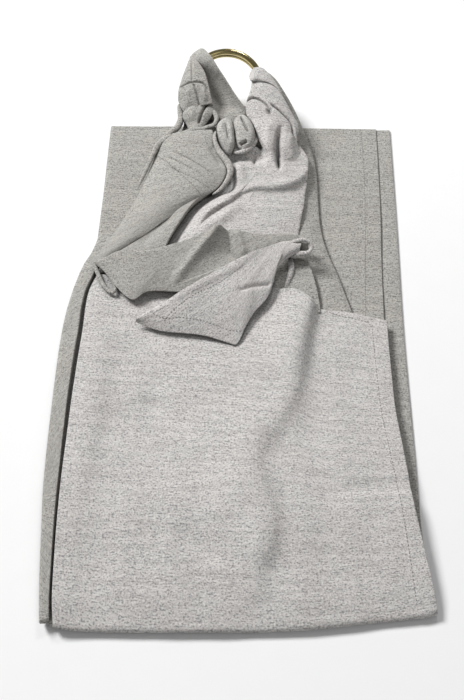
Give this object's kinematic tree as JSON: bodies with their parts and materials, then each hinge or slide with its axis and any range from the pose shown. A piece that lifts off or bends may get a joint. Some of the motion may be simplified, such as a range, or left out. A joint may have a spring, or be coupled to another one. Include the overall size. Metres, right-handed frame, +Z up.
{
  "type": "ring sling baby carrier",
  "caption": "Folded ring sling: a wide hemmed cloth in a flat stack, its gathered shoulder wrapped round metal rings, with the tail's free corner turned over the front.",
  "frame": {"origin": "near the middle of the underside of the folded stack, on the surface it rests on", "axes": "+Z up out of the stack, +Y towards the rings along the stack, +X towards the hemmed side of the lengthwise fold"},
  "size_m": [0.3623, 0.6858, 0.0661],
  "materials": {
    "cloth": "matte woven heather grey with dark and cream flecks",
    "rings": "satin, lightly brushed",
    "thread": "matte tone-on-tone sewing thread"
  },
  "bodies": {
    "base": {"base_leaf_lower": "cloth", "base_leaf_upper": "cloth", "lengthwise_fold": "cloth", "crosswise_fold": "cloth", "base_stitching": "thread"},
    "front": {"shoulder_leaf": "cloth", "front_leaf": "cloth", "bottom_fold": "cloth", "shoulder_band": "cloth", "tail_upper": "cloth", "tail_feed_lower": "cloth", "front_stitching": "thread"},
    "head": {"shoulder_gather": "cloth", "tail_throat": "cloth", "tail_feed_upper": "cloth", "ring_wrap_left": "cloth", "ring_wrap_bottom": "cloth", "ring_wrap_right": "cloth", "shoulder_stitching": "thread"},
    "ring_front": {"ring_front": "rings"},
    "ring_back": {"ring_back": "rings"},
    "tail": {"tail_drape": "cloth"},
    "corner": {"tail_corner": "cloth", "tail_stitching": "thread"}
  },
  "joints": [
    {"name": "stack_unfold", "type": "hinge", "parent": "base", "child": "front", "pos_m": [0, -0.3084, 0.0046], "axis": [1, 0, 0], "range_deg": [0, 165]},
    {"name": "head_lift", "type": "hinge", "parent": "front", "child": "head", "pos_m": [0, 0.165, 0.0305], "axis": [1, 0, 0], "range_deg": [0, 60]},
    {"name": "ring_front_spin", "type": "hinge", "parent": "head", "child": "ring_front", "pos_m": [-0.027, 0.32942, 0.0414], "axis": [0, -0.4226, 0.9063], "continuous": true},
    {"name": "ring_back_spin", "type": "hinge", "parent": "head", "child": "ring_back", "pos_m": [-0.027, 0.33259, 0.0346], "axis": [0, -0.4226, 0.9063], "continuous": true},
    {"name": "tail_pull", "type": "slide", "parent": "front", "child": "tail", "axis": [0, -1, 0], "range_m": [0, 0.04]},
    {"name": "corner_lift", "type": "hinge", "parent": "tail", "child": "corner", "pos_m": [-0.118, 0.006, 0.0288], "axis": [-0.866, -0.5, 0], "range_deg": [0, 110]}
  ]
}
